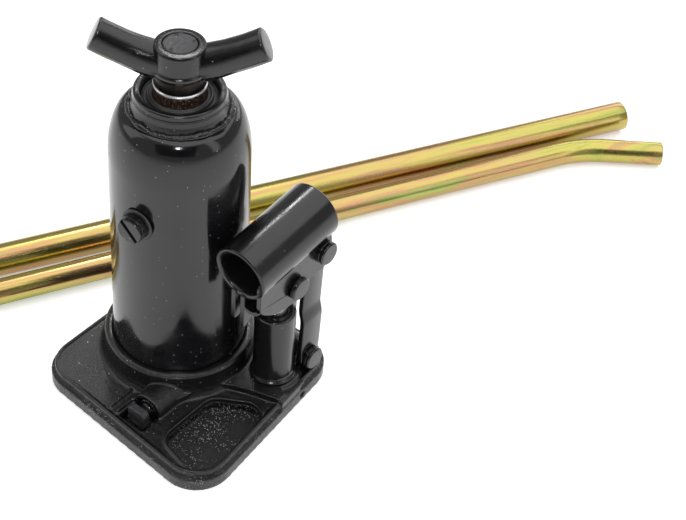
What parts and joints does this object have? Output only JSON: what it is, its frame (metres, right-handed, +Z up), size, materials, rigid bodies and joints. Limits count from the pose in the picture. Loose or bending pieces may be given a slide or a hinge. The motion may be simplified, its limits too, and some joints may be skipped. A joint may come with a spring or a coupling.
{
  "type": "hydraulic bottle jack",
  "caption": "Hydraulic bottle jack with a horned cradle on an extension screw, a lever pump with a handle socket, a release valve and a loose two-piece handle.",
  "frame": {"origin": "where the ram axis meets the ground under the base plate", "axes": "+X towards the pump and its handle socket, +Y towards the rear (the release valve and the socket's mouth face -Y), +Z up along the ram"},
  "size_m": [0.2537, 0.4214, 0.2219],
  "materials": {
    "black_enamel": "gloss black enamel over cast and drawn steel",
    "bright_steel": "ground and bright steel",
    "oiled_steel": "oily brown-black ground steel",
    "seal_rubber": "black nitrile rubber",
    "copper_washer": "soft copper",
    "white_ptfe": "white PTFE",
    "yellow_zinc": "iridescent yellow zinc plating"
  },
  "bodies": {
    "base": {"base_casting": "black_enamel", "reservoir_shell": "black_enamel", "reservoir_gasket": "seal_rubber", "working_cylinder": "bright_steel", "cylinder_gasket": "copper_washer", "top_collar": "black_enamel", "ram_wiper": "seal_rubber", "suction_strainer": "bright_steel", "inlet_ball": "bright_steel", "outlet_ball": "bright_steel", "outlet_spring": "bright_steel", "passage_plugs": "black_enamel", "pump_barrel": "black_enamel", "barrel_gasket": "copper_washer", "release_ball": "bright_steel", "filler_seal": "seal_rubber"},
    "release_valve": {"release_valve_spindle": "black_enamel", "release_o_ring": "seal_rubber"},
    "filler": {"filler_plug": "black_enamel"},
    "ram": {"ram": "oiled_steel", "piston_cup": "seal_rubber", "piston_washer": "bright_steel", "ram_stop_ring": "bright_steel"},
    "screw": {"extension_screw": "oiled_steel", "screw_stop_ring": "bright_steel"},
    "cradle": {"cradle_head": "black_enamel"},
    "plunger": {"pump_plunger": "bright_steel", "plunger_seal": "seal_rubber", "plunger_backup_ring": "white_ptfe"},
    "link": {"link_plate_right": "black_enamel", "link_plate_left": "black_enamel", "lower_link_pin": "black_enamel", "lower_pin_clip": "bright_steel"},
    "rocker": {"handle_socket": "black_enamel", "upper_link_pin": "black_enamel", "upper_pin_clip": "bright_steel", "plunger_pin": "black_enamel", "plunger_pin_clip": "bright_steel"},
    "thick_handle": {"handle_tube_thick": "yellow_zinc"},
    "thin_handle": {"handle_tube_thin": "yellow_zinc"}
  },
  "joints": [
    {"name": "ram_slide", "type": "slide", "parent": "base", "child": "ram", "axis": [0, 0, 1], "range_m": [0, 0.12]},
    {"name": "screw_extend", "type": "slide", "parent": "ram", "child": "screw", "axis": [0, 0, 1], "range_m": [0, 0.06]},
    {"name": "head_swivel", "type": "hinge", "parent": "screw", "child": "cradle", "pos_m": [0, 0, 0.2], "axis": [0, 0, 1], "continuous": true},
    {"name": "link_swing", "type": "hinge", "parent": "base", "child": "link", "pos_m": [0.053, 0.0348, 0.0182], "axis": [-1, 0, 0], "range_deg": [-3, 3]},
    {"name": "rocker_swing", "type": "hinge", "parent": "link", "child": "rocker", "pos_m": [0.053, 0.0376, 0.0946], "axis": [-1, 0, 0], "range_deg": [-14, 30]},
    {"name": "plunger_stroke", "type": "slide", "parent": "base", "child": "plunger", "axis": [0, 0, 1], "range_m": [-0.0059, 0.0125]},
    {"name": "release_valve_turn", "type": "hinge", "parent": "base", "child": "release_valve", "pos_m": [0.0209, -0.048, 0.0116], "axis": [0, -1, 0], "range_deg": [0, 540]},
    {"name": "filler_plug_pull", "type": "slide", "parent": "base", "child": "filler", "axis": [0.1305, -0.9914, 0], "range_m": [0, 0.03]},
    {"name": "thick_handle_lift", "type": "slide", "parent": "base", "child": "thick_handle", "axis": [0, 0, 1], "range_m": [0, 0.12]},
    {"name": "thin_handle_lift", "type": "slide", "parent": "base", "child": "thin_handle", "axis": [0, 0, 1], "range_m": [0, 0.12]}
  ],
  "couplings": [
    {"joint": "link_swing", "follows": "rocker_swing", "ratio": 0.0792},
    {"joint": "plunger_stroke", "follows": "rocker_swing", "m_per_rad": 0.0237}
  ]
}
